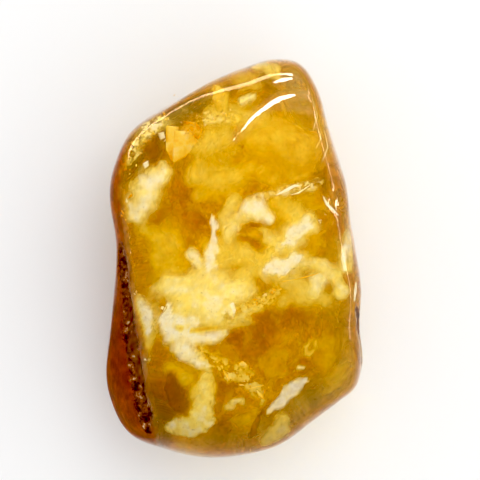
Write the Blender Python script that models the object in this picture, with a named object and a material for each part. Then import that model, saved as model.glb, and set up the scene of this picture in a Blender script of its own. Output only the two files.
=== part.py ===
"""A tumbled, polished amber stone, one solid, lying on its back with its broad face up.

Metres, +Z up. The origin is the middle of the box's underside. +X is the stone's right side and +Y its
narrow end, as seen from above.
"""

import math

import bmesh
import bpy
import numpy as np
from mathutils import Vector, noise

MM = 0.001

# Sizes of the whole stone, in millimetres
THICKNESS = 24.0
FLAT_DEPTH = 0.55          # how far the rounded back would reach below the flat spot that it rests on
BALL_SUBDIVISIONS = 5
SEAM_REACH = (3.2, 1.9)    # faces this close to the seam are split, once for each distance

# The rim seen from above: direction in degrees from +X, and distance from the middle in millimetres
RIM = [
    (0, 17.7), (15, 17.7), (32, 19.1), (46, 21.3), (56, 24.2), (65, 28.1), (72, 30.4), (79, 30.1),
    (88, 28.2), (100, 26.4), (115, 25.0), (131, 24.3), (144, 22.4), (158, 20.3), (172, 18.5),
    (188, 18.5), (204, 20.5), (216, 23.8), (228, 28.0), (238, 30.6), (250, 30.3), (266, 29.9),
    (280, 28.9), (294, 26.7), (306, 26.2), (312, 26.2), (319, 24.8), (330, 21.5), (344, 19.3),
]
# How square each side's section is: 2 is an ellipse, and more is boxier, above and below the rim
UPPER_SQUARENESS = [
    (0, 5.6), (30, 6.0), (50, 7.6), (65, 7.6), (78, 6.4), (95, 6.0), (115, 6.2), (135, 6.8), (160, 6.0),
    (190, 5.2), (235, 5.2), (270, 5.0), (295, 5.2), (315, 5.8), (340, 5.6),
]
LOWER_SQUARENESS = [(0, 2.6), (60, 2.3), (120, 2.4), (180, 2.6), (240, 2.5), (300, 2.4)]
# Height of the rim, the widest line round the stone
RIM_HEIGHT = [(0, 9.5), (45, 9.0), (75, 8.6), (120, 10.2), (180, 8.4), (225, 7.6), (270, 9.0), (315, 9.8)]

# Worn planes that cut the broad face: a point of the plane, the way down it in plan, and its slope
PLANES = [
    {"at": (-14.9, -8.3, 21.6), "down": (-0.990, -0.142), "slope": 1.45, "round": 4.0},
    {"at": (17.2, 4.0, 22.8), "down": (0.97, 0.24), "slope": 1.10, "round": 2.2},
    {"at": (10.6, -23.6, 22.2), "down": (0.56, -0.83), "slope": 0.95, "round": 2.2},
]

# The worn facet at the narrow end: its edge is an arc, seen from above, and it falls away outside the arc
# for headings within the spread, fading over the fade
FACET = {
    "centre": (10.5, 12.5), "radius": 11.0, "height": 23.6, "slope": 0.30, "round": 1.6,
    "heading": 105.0, "spread": 38.0, "fade": 64.0, "lift": 0.8,
}

# Slow swell of a hand-polished face: height, wavelength and direction in degrees
SWELLS = [(0.18, 23.0, 35.0, 0.4), (0.12, 15.0, 118.0, 1.9), (0.05, 9.5, 74.0, 4.1)]

# Shallow hollows: centre, radius and depth
HOLLOWS = [
    {"at": (7.6, 10.6, 23.0), "radius": 3.0, "depth": 0.34},
    {"at": (14.2, 8.0, 21.5), "radius": 2.2, "depth": 0.62},
    {"at": (-7.5, -10.5, 23.0), "radius": 5.0, "depth": 0.22},
    {"at": (-9.5, 15.5, 20.5), "radius": 4.0, "depth": 0.40},
    {"at": (15.6, -21.4, 12.0), "radius": 3.6, "depth": 0.75},
    {"at": (-18.4, 0.5, 13.0), "radius": 4.6, "depth": 0.20},
    {"at": (3.0, 28.0, 5.0), "radius": 5.0, "depth": 0.70},
    {"at": (12.5, 2.0, 2.0), "radius": 6.5, "depth": 0.60},
    {"at": (-13.5, -13.0, 1.5), "radius": 6.0, "depth": 0.50},
]

# The rough seam along the left shoulder: points of its floor with half width and depth there
SEAM = [
    ((-17.3, 1.8, 19.2), 0.5, 0.15),
    ((-17.1, -0.8, 18.9), 1.0, 0.85),
    ((-16.5, -4.0, 18.9), 0.8, 0.60),
    ((-16.1, -7.8, 18.8), 0.9, 0.75),
    ((-16.3, -12.0, 18.6), 1.3, 1.15),
    ((-15.6, -16.1, 18.9), 1.2, 1.05),
    ((-14.7, -19.8, 19.1), 1.1, 0.95),
    ((-13.6, -23.0, 19.4), 1.2, 0.80),
    ((-12.9, -25.4, 18.8), 0.6, 0.20),
]
SEAM_PITS = {"scale": 0.55, "fine_scale": 1.25, "depth": 0.55, "fine_depth": 0.45}

# The patch of rind that the polishing left on the right side
RIND = {
    "at": (18.8, -9.2, 12.5), "half_length": 6.8, "half_height": 3.9, "depth": 0.34, "grain": 0.42,
    "scale": 0.62,
}


def ring(table, angle):
    """Value at an angle in degrees: a periodic cubic curve through the table's (degrees, value) points."""
    angles = np.array([a for a, _ in table], float)
    values = np.array([v for _, v in table], float)
    angles = np.concatenate([angles[-2:] - 360, angles, angles[:3] + 360])
    values = np.concatenate([values[-2:], values, values[:3]])
    slopes = np.gradient(values, angles)
    at = np.mod(angle, 360.0)
    i = np.clip(np.searchsorted(angles, at, side="right") - 1, 0, len(angles) - 2)
    span = angles[i + 1] - angles[i]
    t = (at - angles[i]) / span
    start = (2 * t**3 - 3 * t**2 + 1) * values[i] + (t**3 - 2 * t**2 + t) * span * slopes[i]
    end = (3 * t**2 - 2 * t**3) * values[i + 1] + (t**3 - t**2) * span * slopes[i + 1]
    return start + end


def soft_minimum(a, b, roundness):
    """The lower of two heights, blended where they meet."""
    return (a + b - np.sqrt((a - b) ** 2 + roundness**2)) / 2


def facet_height(px, py):
    """Height of the facet at the narrow end, lifted clear of the stone outside its spread."""
    dx, dy = px - FACET["centre"][0], py - FACET["centre"][1]
    off = np.abs((np.degrees(np.arctan2(dy, dx)) - FACET["heading"] + 180) % 360 - 180)
    share = np.clip((FACET["spread"] + FACET["fade"] - off) / FACET["fade"], 0, 1)
    share = share * share * (3 - 2 * share)
    run = (np.hypot(dx, dy) - FACET["radius"]) * share
    return FACET["height"] - FACET["slope"] * run + FACET["lift"] * (1 - share)


def worn_form(directions):
    """Points of the stone for directions on a unit ball, before its hollows and seam are pressed in."""
    x, y, z = directions.T
    angle = np.degrees(np.arctan2(y, x))
    out, up = np.hypot(x, y), np.abs(z)
    square = np.where(z > 0, ring(UPPER_SQUARENESS, angle), ring(LOWER_SQUARENESS, angle))
    reach = (out**square + up**square) ** (-1 / square)
    radius = ring(RIM, angle) * out * reach
    rim = ring(RIM_HEIGHT, angle)
    px, py = radius * np.cos(np.radians(angle)), radius * np.sin(np.radians(angle))
    top = rim + (THICKNESS - rim) * up * reach
    for plane in PLANES:
        ax, ay, az = plane["at"]
        run = (px - ax) * plane["down"][0] + (py - ay) * plane["down"][1]
        top = np.where(z > 0, soft_minimum(top, az - plane["slope"] * run, plane["round"] * up), top)
    top = np.where(z > 0, soft_minimum(top, facet_height(px, py), FACET["round"] * up), top)
    bottom = rim - (rim + FLAT_DEPTH) * up * reach
    return np.column_stack([px, py, np.where(z > 0, top, bottom)])


def swell(points):
    """Slow waves in the polish, as a height along the surface normal."""
    total = np.zeros(len(points))
    for height, length, heading, phase in SWELLS:
        along = math.cos(math.radians(heading)), math.sin(math.radians(heading)), 0.6
        total += height * np.sin(points @ np.array(along) * 2 * math.pi / length + phase)
    return total


def hollow_depth(points):
    """Depth of the shallow round hollows at each point."""
    total = np.zeros(len(points))
    for hollow in HOLLOWS:
        away = np.linalg.norm(points - np.array(hollow["at"]), axis=1) / hollow["radius"]
        total += hollow["depth"] * np.exp(-(away**2) * 1.6)
    return total


def seam_place(points):
    """(distance from the seam's line, that distance as a share of the half width, and the depth there)."""
    distance = np.full(len(points), np.inf)
    share = np.full(len(points), np.inf)
    depth = np.zeros(len(points))
    for (a, wide_a, deep_a), (b, wide_b, deep_b) in zip(SEAM, SEAM[1:]):
        a, b = np.array(a), np.array(b)
        t = np.clip((points - a) @ (b - a) / ((b - a) @ (b - a)), 0, 1)
        off = np.linalg.norm(points - a - t[:, None] * (b - a), axis=1)
        nearer = off < distance
        distance = np.where(nearer, off, distance)
        share = np.where(nearer, off / (wide_a + (wide_b - wide_a) * t), share)
        depth = np.where(nearer, deep_a + (deep_b - deep_a) * t, depth)
    return distance, share, depth


def lumps(points, scale):
    """Smooth natural lumps, from -1 to 1."""
    return np.array([noise.noise(Vector(p) * scale) for p in points])


def seam_depth(points):
    """The seam's groove, deepest on its line, with uneven pits along it."""
    _, share, depth = seam_place(points)
    pits = 1 + SEAM_PITS["depth"] * lumps(points, SEAM_PITS["scale"]) * 2
    pits += SEAM_PITS["fine_depth"] * lumps(points, SEAM_PITS["fine_scale"])
    return depth * np.clip(pits, 0.15, 2.0) * np.exp(-(share**2) * 1.1)


def rind_share(points):
    """1 in the middle of the patch of rind, fading to 0 at its edge."""
    at = np.array(RIND["at"])
    along = (points[:, 1] - at[1]) / RIND["half_length"]
    rise = (points[:, 2] - at[2]) / RIND["half_height"]
    side = np.clip((points[:, 0] - at[0] + 2.5) / 1.5, 0, 1)
    away = np.sqrt(along**2 + rise**2) + 0.12 * np.sin(points[:, 1] * 2.3) * np.cos(points[:, 2] * 1.9)
    return np.clip((1.1 - away) / 0.35, 0, 1) * side


def rind_depth(points):
    """The rind lies a little below the polish and has a coarse grain."""
    grain = lumps(points, RIND["scale"]) + 0.6 * lumps(points, RIND["scale"] * 2.1)
    return rind_share(points) * (RIND["depth"] + RIND["grain"] * grain)


def positions(bm):
    """The mesh's points as an array."""
    return np.array([v.co for v in bm.verts])


def place_points(bm, points):
    """Moves the mesh's points and works out its normals again."""
    for vert, point in zip(bm.verts, points):
        vert.co = point
    bm.normal_update()


def split_where(bm, near):
    """Splits the ball's edges whose two ends are both marked, and puts the new points on the ball."""
    edges = [e for e in bm.edges if near[e.verts[0].index] and near[e.verts[1].index]]
    bmesh.ops.subdivide_edges(bm, edges=edges, cuts=1, use_grid_fill=True)
    bmesh.ops.triangulate(bm, faces=bm.faces[:])
    for vert in bm.verts:
        vert.co.normalize()
    bm.verts.index_update()


def split_near_features(bm):
    """Gives the parts of the ball that will hold the seam and the rind enough points for their relief."""
    for reach in SEAM_REACH:
        form = worn_form(positions(bm))
        near = seam_place(form)[0] < reach
        if reach == SEAM_REACH[0]:
            near |= rind_share(form) > 0
        split_where(bm, near)


def amber_material():
    """Honey amber, polished and see-through."""
    material = bpy.data.materials.new("honey_amber")
    material.use_nodes = True
    shader = material.node_tree.nodes["Principled BSDF"]
    shader.inputs["Base Color"].default_value = (0.62, 0.32, 0.03, 1.0)
    shader.inputs["Roughness"].default_value = 0.08
    shader.inputs["Metallic"].default_value = 0.0
    shader.inputs["IOR"].default_value = 1.54
    shader.inputs["Transmission Weight"].default_value = 0.6
    return material


def build_stone(collection):
    """A ball drawn out to the worn form, then its hollows, seam, rind and flat spot."""
    bm = bmesh.new()
    bmesh.ops.create_icosphere(bm, subdivisions=BALL_SUBDIVISIONS, radius=1.0)
    bm.verts.index_update()
    split_near_features(bm)
    place_points(bm, worn_form(positions(bm)))

    points = positions(bm)
    normals = np.array([v.normal for v in bm.verts])
    rise = swell(points) - hollow_depth(points) - seam_depth(points) - rind_depth(points)
    points = points + normals * rise[:, None]
    points[:, 2] = np.maximum(points[:, 2], 0.0)
    low, high = points.min(axis=0), points.max(axis=0)
    points[:, :2] -= (low[:2] + high[:2]) / 2
    place_points(bm, points * MM)

    mesh = bpy.data.meshes.new("amber_stone")
    bm.to_mesh(mesh)
    bm.free()
    mesh.shade_smooth()
    stone = bpy.data.objects.new("amber_stone", mesh)
    stone.data.materials.append(amber_material())
    collection.objects.link(stone)
    return stone


def main():
    for old in list(bpy.data.objects):
        bpy.data.objects.remove(old)
    collection = bpy.data.collections.new("amber_stone")
    bpy.context.scene.collection.children.link(collection)
    build_stone(collection)


main()
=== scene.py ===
import math
import bpy
import numpy as np
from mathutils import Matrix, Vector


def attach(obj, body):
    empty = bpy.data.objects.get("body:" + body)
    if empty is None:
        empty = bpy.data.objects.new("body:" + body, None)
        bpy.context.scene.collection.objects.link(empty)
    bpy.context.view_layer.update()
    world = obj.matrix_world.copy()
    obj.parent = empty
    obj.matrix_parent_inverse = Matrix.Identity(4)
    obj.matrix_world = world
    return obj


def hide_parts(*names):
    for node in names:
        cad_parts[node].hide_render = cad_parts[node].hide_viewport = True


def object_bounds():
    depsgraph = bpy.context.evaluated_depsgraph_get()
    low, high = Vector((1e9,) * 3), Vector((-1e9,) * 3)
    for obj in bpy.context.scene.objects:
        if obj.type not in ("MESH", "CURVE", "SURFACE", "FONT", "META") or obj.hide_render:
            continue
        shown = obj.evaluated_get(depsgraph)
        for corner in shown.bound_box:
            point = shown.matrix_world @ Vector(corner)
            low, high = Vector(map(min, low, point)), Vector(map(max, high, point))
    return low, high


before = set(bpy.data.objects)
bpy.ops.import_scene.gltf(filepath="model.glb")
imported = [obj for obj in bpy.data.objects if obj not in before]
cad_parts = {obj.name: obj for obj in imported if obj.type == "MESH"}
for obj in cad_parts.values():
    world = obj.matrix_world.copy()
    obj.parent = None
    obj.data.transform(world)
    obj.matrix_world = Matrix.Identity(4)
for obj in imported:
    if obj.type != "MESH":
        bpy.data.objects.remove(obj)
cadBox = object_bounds()
mm = 0.001


def gradientNoise(points, seed):
    # Perlin noise: a random slope at each lattice corner, and the eight corners' heights blended by
    # 6t^5 - 15t^4 + 10t^3 along each axis. About -0.8 to 0.8.
    slopes = np.random.default_rng(seed).normal(size=(24, 24, 24, 3))
    slopes /= np.linalg.norm(slopes, axis=-1, keepdims=True)
    cell = np.floor(points).astype(int)
    part = points - cell
    blend = part**3 * (part * (part * 6 - 15) + 10)
    total = np.zeros(len(points))
    for corner in np.ndindex(2, 2, 2):
        at = (cell + corner) % 24
        height = (slopes[at[:, 0], at[:, 1], at[:, 2]] * (part - corner)).sum(1)
        share = np.where(np.array(corner) == 1, blend, 1 - blend).prod(1)
        total += height * share
    return total * 1.5


def clumps(points, size, seed, octaves=4, gain=0.55):
    # Sum of gradientNoise at size, size / 2.1, size / 4.4 ..., each gain times as strong
    total, strength = np.zeros(len(points)), 1.0
    for octave in range(octaves):
        total += strength * gradientNoise(points / size + 7.3 * octave, seed + octave)
        size, strength = size / 2.1, strength * gain
    return total


def swirled(points, size, amount, seed):
    # Points pushed about by three noises, so that what is drawn on them flows and curls
    push = [clumps(points, size, seed + 50 * axis, octaves=2) for axis in range(3)]
    return points + amount * np.stack(push, 1)


def smoothStep(low, high, value):
    # 0 at low, 1 at high and 3t^2 - 2t^3 between them; low may be the larger
    t = np.clip((value - low) / (high - low), 0, 1)
    return t * t * (3 - 2 * t)


def softMinimum(a, b, roundness):
    # The lower of two heights, rounded where they meet: half of a + b - sqrt((a - b)^2 + roundness^2)
    return (a + b - np.sqrt((a - b) ** 2 + roundness**2)) / 2


# The stone's worn form, in millimetres, with the solid's own values but for the low steps
stone = {
    "thickness": 24.0,
    "middle": 11,                 # its height, which the faces point away from
    "flatDepth": 0.55,            # how far the back would reach below the flat spot that it rests on
    # by degrees from +X: distance of the rim, how boxy the sides are over and under it, and its height
    "rim": [
        (0, 17.7), (15, 17.7), (32, 19.1), (46, 21.3), (56, 24.2), (65, 28.1), (72, 30.4), (79, 30.1),
        (88, 28.2), (100, 26.4), (115, 25.0), (131, 24.3), (144, 22.4), (158, 20.3), (172, 18.5),
        (188, 18.5), (204, 20.5), (216, 23.8), (228, 28.0), (238, 30.6), (250, 30.3), (266, 29.9),
        (280, 28.9), (294, 26.7), (306, 26.2), (312, 26.2), (319, 24.8), (330, 21.5), (344, 19.3)],
    "upperSquareness": [
        (0, 5.6), (30, 6.0), (50, 7.6), (65, 7.6), (78, 6.4), (95, 6.0), (115, 6.2), (135, 6.8), (160, 6.0),
        (190, 5.2), (235, 5.2), (270, 5.0), (295, 5.2), (315, 5.8), (340, 5.6)],
    "lowerSquareness": [(0, 2.6), (60, 2.3), (120, 2.4), (180, 2.6), (240, 2.5), (300, 2.4)],
    "rimHeight": [
        (0, 9.5), (45, 9.0), (75, 8.6), (120, 10.2), (180, 8.4), (225, 7.6), (270, 9.0), (315, 9.8)],
    # worn planes: a point of the plane, the way down it in plan, its slope and how round its edge is
    "planes": [
        ((-14.9, -8.3, 21.6), (-0.990, -0.142), 1.45, 4.0),
        ((17.2, 4.0, 22.8), (0.97, 0.24), 1.10, 2.2),
        ((10.6, -23.6, 22.2), (0.56, -0.83), 0.95, 2.2)],
    # the worn facet at the narrow end falls away outside an arc
    "facet": {"centre": (10.5, 12.5), "radius": 11.0, "height": 23.6, "slope": 0.30, "round": 1.6,
              "heading": 105.0, "spread": 38.0, "fade": 64.0, "lift": 0.8},
    # slow waves of a polished face: height, length, heading in degrees and phase
    "swells": [(0.18, 23.0, 35.0, 0.4), (0.12, 15.0, 118.0, 1.9), (0.05, 9.5, 74.0, 4.1)],
    "swellRise": 0.6,             # how much the waves' heading tilts up
    # low steps in the polish that catch the strip light: places (x, y, half width), and the slope they reach
    "steps": [
        [(-0.3, 17.5, 0.8), (0.9, 18.8, 1.0), (2.0, 20.2, 1.05), (3.5, 21.5, 1.0), (5.0, 22.6, 1.1),
         (6.4, 23.4, 1.2), (8.3, 24.0, 1.2), (10.1, 24.2, 1.0), (11.0, 24.2, 0.6)],
        [(5.9, 25.9, 0.6), (6.8, 26.2, 0.85), (8.1, 26.4, 0.9), (9.6, 26.1, 0.8), (10.4, 25.7, 0.5)],
        [(6.2, 21.8, 0.3), (7.4, 22.0, 0.45), (8.8, 22.1, 0.45), (10.4, 21.8, 0.45), (11.2, 21.5, 0.3)]],
    "stepSlope": 0.55,
    "stepsAbove": 15,
    "stepsFrom": (0.75, 0.9),     # how level the skin has to be for them, none to full
    # shallow hollows: place, radius and depth
    "hollows": [
        ((7.6, 10.6, 23.0), 3.0, 0.34), ((14.2, 8.0, 21.5), 2.2, 0.62), ((-7.5, -10.5, 23.0), 5.0, 0.22),
        ((-9.5, 15.5, 20.5), 4.0, 0.40), ((15.6, -21.4, 12.0), 3.6, 0.75), ((-18.4, 0.5, 13.0), 4.6, 0.20),
        ((3.0, 28.0, 5.0), 5.0, 0.70), ((12.5, 2.0, 2.0), 6.5, 0.60), ((-13.5, -13.0, 1.5), 6.0, 0.50)],
}

# The rough seam along the left shoulder: the solid's own places on its floor, with half width and depth
seam = {
    "line": [
        ((-17.3, 1.8, 19.2), 0.5, 0.15), ((-17.1, -0.8, 18.9), 1.0, 0.85), ((-16.5, -4.0, 18.9), 0.8, 0.60),
        ((-16.1, -7.8, 18.8), 0.9, 0.75), ((-16.3, -12.0, 18.6), 1.3, 1.15),
        ((-15.6, -16.1, 18.9), 1.2, 1.05), ((-14.7, -19.8, 19.1), 1.1, 0.95),
        ((-13.6, -23.0, 19.4), 1.2, 0.80), ((-12.9, -25.4, 18.8), 0.6, 0.20)],
    "lumpSize": 1.5,
    "lumpHeight": 0.55,
    "grainSize": 0.55,
    "grainHeight": 0.22,
}

# The patch of rind that the polishing left on the right side, a little higher than the solid's
rind = {
    "place": (18.8, -9.4, 16.6),
    "halfLength": 7.2,
    "halfHeight": 3.6,
    "depth": 0.34,
    "raggedSize": 4.0,
    "ragged": 0.45,
    "grainSize": 1.3,
    "grainHeight": 0.30,
}


def ring(table, angle):
    # A periodic cubic curve through the table's (degrees, value) places
    angles = np.array([place for place, _ in table], float)
    values = np.array([value for _, value in table], float)
    angles = np.concatenate([angles[-2:] - 360, angles, angles[:3] + 360])
    values = np.concatenate([values[-2:], values, values[:3]])
    slopes = np.gradient(values, angles)
    at = np.mod(angle, 360.0)
    i = np.clip(np.searchsorted(angles, at, side="right") - 1, 0, len(angles) - 2)
    span = angles[i + 1] - angles[i]
    t = (at - angles[i]) / span
    start = (2 * t**3 - 3 * t**2 + 1) * values[i] + (t**3 - 2 * t**2 + t) * span * slopes[i]
    return start + (3 * t**2 - 2 * t**3) * values[i + 1] + (t**3 - t**2) * span * slopes[i + 1]


def wornForm(directions):
    # For a direction (x, y, z): plan distance = rim * out * reach, and height from the rim's to the top's or
    # the flat spot's as up * reach, where reach = (out^n + up^n)^(-1/n). Planes then cut the top softly.
    x, y, z = directions.T
    angle = np.degrees(np.arctan2(y, x))
    out, up = np.hypot(x, y), np.abs(z)
    square = np.where(z > 0, ring(stone["upperSquareness"], angle), ring(stone["lowerSquareness"], angle))
    reach = (out**square + up**square) ** (-1 / square)
    radius = ring(stone["rim"], angle) * out * reach
    rimHeight = ring(stone["rimHeight"], angle)
    px, py = radius * np.cos(np.radians(angle)), radius * np.sin(np.radians(angle))
    top = rimHeight + (stone["thickness"] - rimHeight) * up * reach
    for place, down, slope, roundness in stone["planes"]:
        run = (px - place[0]) * down[0] + (py - place[1]) * down[1]
        plane = place[2] - slope * run
        top = np.where(z > 0, softMinimum(top, plane, roundness * up), top)
    facet = stone["facet"]
    dx, dy = px - facet["centre"][0], py - facet["centre"][1]
    off = np.abs((np.degrees(np.arctan2(dy, dx)) - facet["heading"] + 180) % 360 - 180)
    share = smoothStep(0, 1, (facet["spread"] + facet["fade"] - off) / facet["fade"])
    plane = facet["height"] - facet["slope"] * (np.hypot(dx, dy) - facet["radius"]) * share
    plane += facet["lift"] * (1 - share)
    top = np.where(z > 0, softMinimum(top, plane, facet["round"] * up), top)
    bottom = rimHeight - (rimHeight + stone["flatDepth"]) * up * reach
    return np.column_stack([px, py, np.where(z > 0, top, bottom)])


def alongLine(points, line):
    # For each point: the nearest place on a line of places, as the distance over the half width there, and
    # the depth there
    share, depth = np.full(len(points), np.inf), np.zeros(len(points))
    for (a, wideA, deepA), (b, wideB, deepB) in zip(line, line[1:]):
        a, b = np.array(a), np.array(b)
        t = np.clip((points - a) @ (b - a) / ((b - a) @ (b - a)), 0, 1)
        away = np.linalg.norm(points - a - t[:, None] * (b - a), axis=1) / (wideA + (wideB - wideA) * t)
        nearer = away < share
        share = np.where(nearer, away, share)
        depth = np.where(nearer, deepA + (deepB - deepA) * t, depth)
    return share, depth


def stepRise(points, normals):
    # Each step falls to its left, seen from its first place to its last, as d exp(-d^2), with d the signed
    # distance in plan over the half width. Its height is what brings the slope there to stepSlope.
    # Returns the rise and how much of a step there is.
    rise, gloss = np.zeros(len(points)), np.zeros(len(points))
    upward = np.maximum(normals[:, 2], 0.3)
    on = smoothStep(*stone["stepsFrom"], normals[:, 2]) * (points[:, 2] > stone["stepsAbove"])
    for line in stone["steps"]:
        nearest = np.full(len(points), np.inf)
        fall = np.zeros(len(points))
        for (ax, ay, wideA), (bx, by, wideB) in zip(line, line[1:]):
            length = math.hypot(bx - ax, by - ay)
            t = ((points[:, 0] - ax) * (bx - ax) + (points[:, 1] - ay) * (by - ay)) / length**2
            t = np.clip(t, 0, 1)
            dx, dy = points[:, 0] - ax - t * (bx - ax), points[:, 1] - ay - t * (by - ay)
            leftX, leftY = -(by - ay) / length, (bx - ax) / length
            own = (normals[:, 0] * leftX + normals[:, 1] * leftY) / upward
            wide = wideA + (wideB - wideA) * t
            away = np.hypot(dx, dy) / wide
            high = np.clip(stone["stepSlope"] - own, 0, 0.6) * wide
            nearer = away < nearest
            nearest = np.where(nearer, away, nearest)
            side = -np.sign(dx * leftX + dy * leftY)
            fall = np.where(nearer, high * side * away * np.exp(-(away**2)), fall)
        rise += fall
        gloss = np.maximum(gloss, smoothStep(1.4, 0.7, nearest))
    return rise * on, gloss * on


def rindShare(points):
    # 1 inside an ellipse on the right side, fading out over its ragged edge
    place = np.array(rind["place"])
    along = (points[:, 1] - place[1]) / rind["halfLength"]
    rise = (points[:, 2] - place[2]) / rind["halfHeight"]
    side = np.clip((points[:, 0] - place[0] + 2.5) / 1.5, 0, 1)
    away = np.sqrt(along**2 + rise**2) + rind["ragged"] * clumps(points, rind["raggedSize"], 31)
    return np.clip((1.1 - away) / 0.25, 0, 1) * side


def gridNormals(grid):
    # Cross product of the grid's two directions, around and along
    around = np.roll(grid, -1, axis=1) - np.roll(grid, 1, axis=1)
    along = np.gradient(grid, axis=0)
    normals = np.cross(around, along)
    return normals / np.maximum(np.linalg.norm(normals, axis=-1, keepdims=True), 1e-9)


def ballGrid(rows, columns):
    # Directions on a ball with its poles at the stone's two ends: along from 0 to pi, and around from 0 to
    # 2 pi, with the columns closer together on the top
    along = (np.arange(rows) + 0.5) / rows * math.pi
    around = np.arange(columns) / columns * 2 * math.pi
    around = around + 0.35 * np.cos(around)
    along, around = np.meshgrid(along, around, indexing="ij")
    return np.stack([np.sin(along) * np.cos(around), np.cos(along), np.sin(along) * np.sin(around)], -1)


def stoneSurface(rows, columns):
    # The worn form plus its swells, less its hollows, seam and rind, measured along the normals. A swell is
    # a sine, a hollow exp(-1.6 d^2) and the seam exp(-1.1 d^2), with d the distance over its half width.
    # Returns the grid of points and each point's share of seam, of rind and of the steps' polish.
    directions = ballGrid(rows, columns)
    form = wornForm(directions.reshape(-1, 3))
    normals = gridNormals(form.reshape(rows, columns, 3)).reshape(-1, 3)
    outward = np.sign((normals * (form - (0, 0, stone["middle"]))).sum(1).sum())
    normals *= outward
    rise = np.zeros(len(form))
    for height, length, heading, phase in stone["swells"]:
        turn = math.radians(heading)
        way = np.array([math.cos(turn), math.sin(turn), stone["swellRise"]])
        rise += height * np.sin(form @ way * 2 * math.pi / length + phase)
    for place, radius, depth in stone["hollows"]:
        away = np.linalg.norm(form - np.array(place), axis=1) / radius
        rise -= depth * np.exp(-(away**2) * 1.6)
    share, depth = alongLine(form, seam["line"])
    lumpy = 1 + seam["lumpHeight"] * 2 * clumps(form, seam["lumpSize"], 11, octaves=3)
    seamShare = np.exp(-(share**2) * 1.1)
    rise -= depth * np.clip(lumpy, 0.1, 2.1) * seamShare
    grainy = smoothStep(0.25, 0.7, seamShare)
    rise += seam["grainHeight"] * clumps(form, seam["grainSize"], 12, octaves=2) * grainy
    bare = rindShare(form)
    rise -= bare * (rind["depth"] + rind["grainHeight"] * clumps(form, rind["grainSize"], 13, octaves=4))
    swollen = (form + normals * rise[:, None]).reshape(rows, columns, 3)
    step, gloss = stepRise(form, outward * gridNormals(swollen).reshape(-1, 3))
    points = form + normals * (rise + step)[:, None]
    points[:, 2] = np.maximum(points[:, 2], 0)
    low, high = np.array(cadBox[0]) / mm, np.array(cadBox[1]) / mm   # fitted to the solid's own box
    least, most = points.min(0), points.max(0)
    points = low + (points - least) / (most - least) * (high - low)
    return points.reshape(rows, columns, 3), seamShare, bare, gloss


def closedMesh(name, grids, values):
    # Joins grids that close around and have a point at each end, and gives the mesh its named values.
    # Each grid is (rows, columns, 3) in millimetres; values maps a name to one array for each grid.
    points, corners, sizes, carried = [], [], [], {key: [] for key in values}
    start = 0
    for index, grid in enumerate(grids):
        rows, columns = grid.shape[:2]
        ends = np.stack([grid[0].mean(0), grid[-1].mean(0)])
        flat = np.concatenate([grid.reshape(-1, 3), ends])
        r, c = np.meshgrid(np.arange(rows - 1), np.arange(columns), indexing="ij")
        right = (c + 1) % columns
        quads = np.stack([r * columns + c, r * columns + right, (r + 1) * columns + right,
                          (r + 1) * columns + c], -1).reshape(-1, 4)
        c = np.arange(columns)
        right, last, pole = (c + 1) % columns, (rows - 1) * columns, rows * columns
        caps = np.concatenate([np.stack([right, c, np.full(columns, pole)], -1),
                               np.stack([last + c, last + right, np.full(columns, pole + 1)], -1)])
        a, b, d = flat[quads[:, 0]], flat[quads[:, 1]], flat[quads[:, 3]]
        middle = flat.mean(0)
        if ((a - middle) * np.cross(b - a, d - a)).sum() < 0:   # faces point outwards
            quads, caps = quads[:, ::-1], caps[:, ::-1]
        corners += [(quads + start).ravel(), (caps + start).ravel()]
        sizes += [np.full(len(quads), 4), np.full(len(caps), 3)]
        points.append(flat)
        start += len(flat)
        for key, arrays in values.items():
            value = arrays[index].reshape(rows, columns)
            carried[key].append(np.concatenate([value.ravel(), [value[0].mean(), value[-1].mean()]]))
    points = np.concatenate(points) * mm
    corners, sizes = np.concatenate(corners), np.concatenate(sizes)
    mesh = bpy.data.meshes.new(name)
    mesh.vertices.add(len(points))
    mesh.vertices.foreach_set("co", points.astype(np.float32).ravel())
    mesh.loops.add(len(corners))
    mesh.loops.foreach_set("vertex_index", corners.astype(np.int32))
    mesh.polygons.add(len(sizes))
    mesh.polygons.foreach_set("loop_start", (np.cumsum(sizes) - sizes).astype(np.int32))
    for key, arrays in carried.items():
        attribute = mesh.attributes.new(key, "FLOAT", "POINT")
        attribute.data.foreach_set("value", np.concatenate(arrays).astype(np.float32))
    mesh.update(calc_edges=True)
    mesh.validate()
    mesh.shade_smooth()
    piece = bpy.data.objects.new(name, mesh)
    bpy.context.scene.collection.objects.link(piece)
    return piece


class Wire:
    # A node's output in a material, that + - and * turn into Math nodes
    def __init__(self, paint, socket):
        self.paint, self.socket = paint, socket

    def maths(self, operation, a, b):
        return self.paint.put("ShaderNodeMath", {"operation": operation}, {0: a, 1: b})

    def __add__(self, other): return self.maths("ADD", self, other)
    def __radd__(self, other): return self.maths("ADD", other, self)
    def __sub__(self, other): return self.maths("SUBTRACT", self, other)
    def __rsub__(self, other): return self.maths("SUBTRACT", other, self)
    def __mul__(self, other): return self.maths("MULTIPLY", self, other)
    def __rmul__(self, other): return self.maths("MULTIPLY", other, self)


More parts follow.
